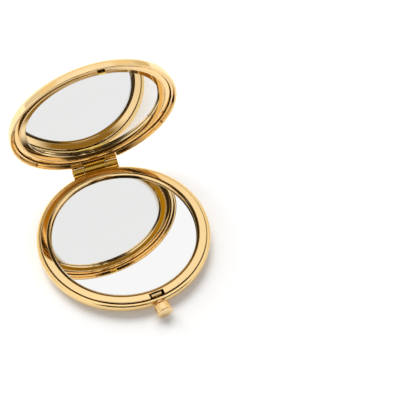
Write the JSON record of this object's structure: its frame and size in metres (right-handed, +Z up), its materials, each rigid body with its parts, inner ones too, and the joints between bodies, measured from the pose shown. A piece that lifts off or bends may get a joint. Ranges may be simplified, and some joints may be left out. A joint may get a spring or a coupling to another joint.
{
  "type": "compact mirror",
  "caption": "Round gold-finish compact mirror: shallow hinged metal halves, a mirror set in each half, and a front push button that draws a sprung catch off the lid's hook.",
  "frame": {"origin": "middle of the flat underside of the base, at the height of the table", "axes": "+Z up, +Y towards the hinge at the back, -Y towards the front, X along the hinge; the push button is 5.3 degrees from -Y towards +X"},
  "size_m": [0.07, 0.0817, 0.077],
  "materials": {
    "polished_gold": "polished pale gold plating on the rolled rims",
    "satin_gold": "fine satin gold on the outer cover plates",
    "bezel_gold": "bright gold rings round the mirrors",
    "hinge_gold": "polished gold hinge leaves and hook",
    "button_gold": "turned and polished gold button, bush and catch",
    "mirror_glass": "silvered glass with a narrow bevelled edge",
    "foam": "dark closed-cell foam disc",
    "adhesive_film": "thin adhesive film",
    "pin_steel": "drawn steel pin",
    "bracket_steel": "pressed steel angle",
    "spring_steel": "round spring wire"
  },
  "bodies": {
    "base": {"base_shell": "polished_gold", "base_plate": "satin_gold", "base_plate_film": "adhesive_film", "base_mirror_pad": "foam", "base_mirror": "mirror_glass", "base_bezel": "bezel_gold", "base_hinge_leaf": "hinge_gold", "hinge_pin": "pin_steel", "latch_bush": "button_gold", "spring_bracket": "bracket_steel"},
    "lid": {"lid_shell": "polished_gold", "lid_cover": "satin_gold", "lid_cover_film": "adhesive_film", "lid_mirror_pad": "foam", "lid_mirror": "mirror_glass", "lid_bezel": "bezel_gold", "lid_hinge_leaf": "hinge_gold", "lid_hook": "hinge_gold"},
    "latch": {"push_button": "button_gold", "latch_catch": "button_gold", "latch_spring": "spring_steel"}
  },
  "joints": [
    {"name": "lid_hinge", "type": "hinge", "parent": "base", "child": "lid", "pos_m": [0, 0.0364, 0.0058], "axis": [-1, 0, 0], "range_deg": [-83.5, 26.5]},
    {"name": "button_slide", "type": "slide", "parent": "base", "child": "latch", "axis": [-0.0924, 0.9957, 0], "range_m": [0, 0.00065], "stiffness_N_per_m": 600, "springref_m": -0.001, "deforming": ["latch_spring"]}
  ]
}
